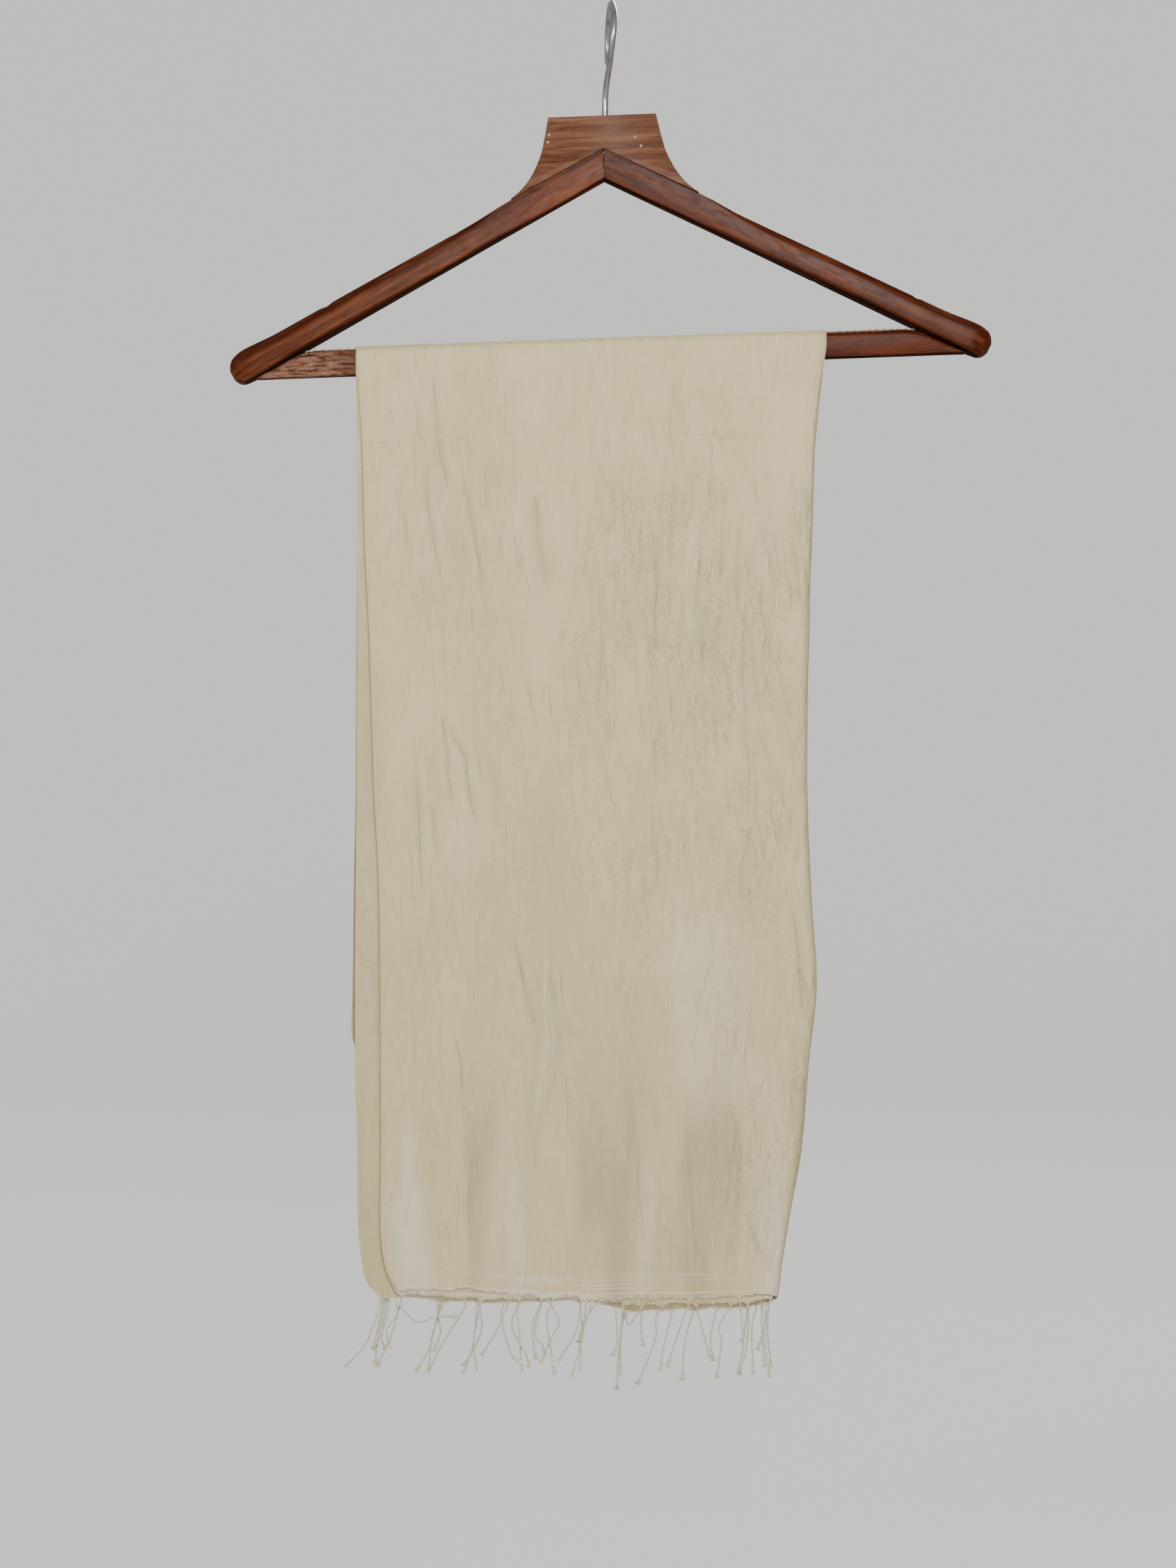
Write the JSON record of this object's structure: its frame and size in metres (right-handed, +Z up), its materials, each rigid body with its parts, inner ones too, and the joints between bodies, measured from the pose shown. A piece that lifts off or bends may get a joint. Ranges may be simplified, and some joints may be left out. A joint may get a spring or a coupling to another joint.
{
  "type": "silk scarf on a wooden hanger",
  "caption": "Long ivory silk scarf with twisted fringe, folded in four and draped over the trouser bar of a sloping wooden hanger with a round steel hook.",
  "frame": {"origin": "inside top of the hook, where it rests on a rod", "axes": "+Z up, -Y towards the front of the hanging scarf, +X to the viewer's right; the rod runs along X"},
  "size_m": [0.4463, 0.047, 0.8146],
  "materials": {
    "lacquered_wood": "worn satin lacquer",
    "block_wood": "worn satin lacquer, paler",
    "grip_strip": "matt, ribbed",
    "hook_steel": "bright zinc",
    "ivory_silk": "fine plain weave, soft sheen",
    "silk_fringe": "twisted cords"
  },
  "bodies": {
    "root": {"hanger_arm_left": "lacquered_wood", "hanger_arm_right": "lacquered_wood", "hanger_bar": "lacquered_wood", "hanger_block": "block_wood", "hanger_grip_strip": "grip_strip", "hanger_hook": "hook_steel", "scarf_outer_half": "ivory_silk", "scarf_inner_half": "ivory_silk", "fringe_front": "silk_fringe", "fringe_middle": "silk_fringe", "fringe_rear": "silk_fringe"}
  },
  "joints": []
}
